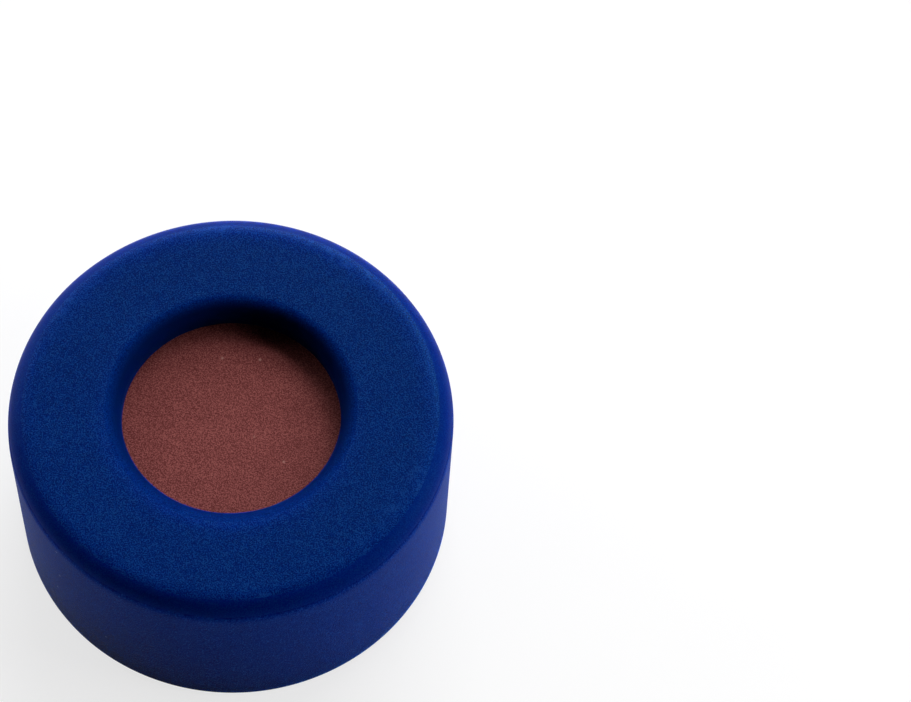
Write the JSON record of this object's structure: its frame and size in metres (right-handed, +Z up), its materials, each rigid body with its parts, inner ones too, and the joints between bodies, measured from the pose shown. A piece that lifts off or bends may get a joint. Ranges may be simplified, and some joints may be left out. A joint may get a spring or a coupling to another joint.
{
  "type": "snap ring vial cap",
  "caption": "Short cylindrical push-fit cap with a round centre hole, a flat rubber sealing disc behind it and snap beads inside the open skirt.",
  "frame": {"origin": "centre of the rim's underside, which the cap stands on", "axes": "+Z up along the cap's axis, from the open mouth to the top face with the hole; the four snap beads lie on the X and Y axes"},
  "size_m": [0.013, 0.013, 0.0062],
  "materials": {
    "moulded_polyethylene": "finely frosted moulded surface, deep blue",
    "rubber_disc": "matt red-brown punched sheet rubber with fine grain"
  },
  "bodies": {
    "root": {"cap_shell": "moulded_polyethylene", "septum": "rubber_disc"}
  },
  "joints": []
}
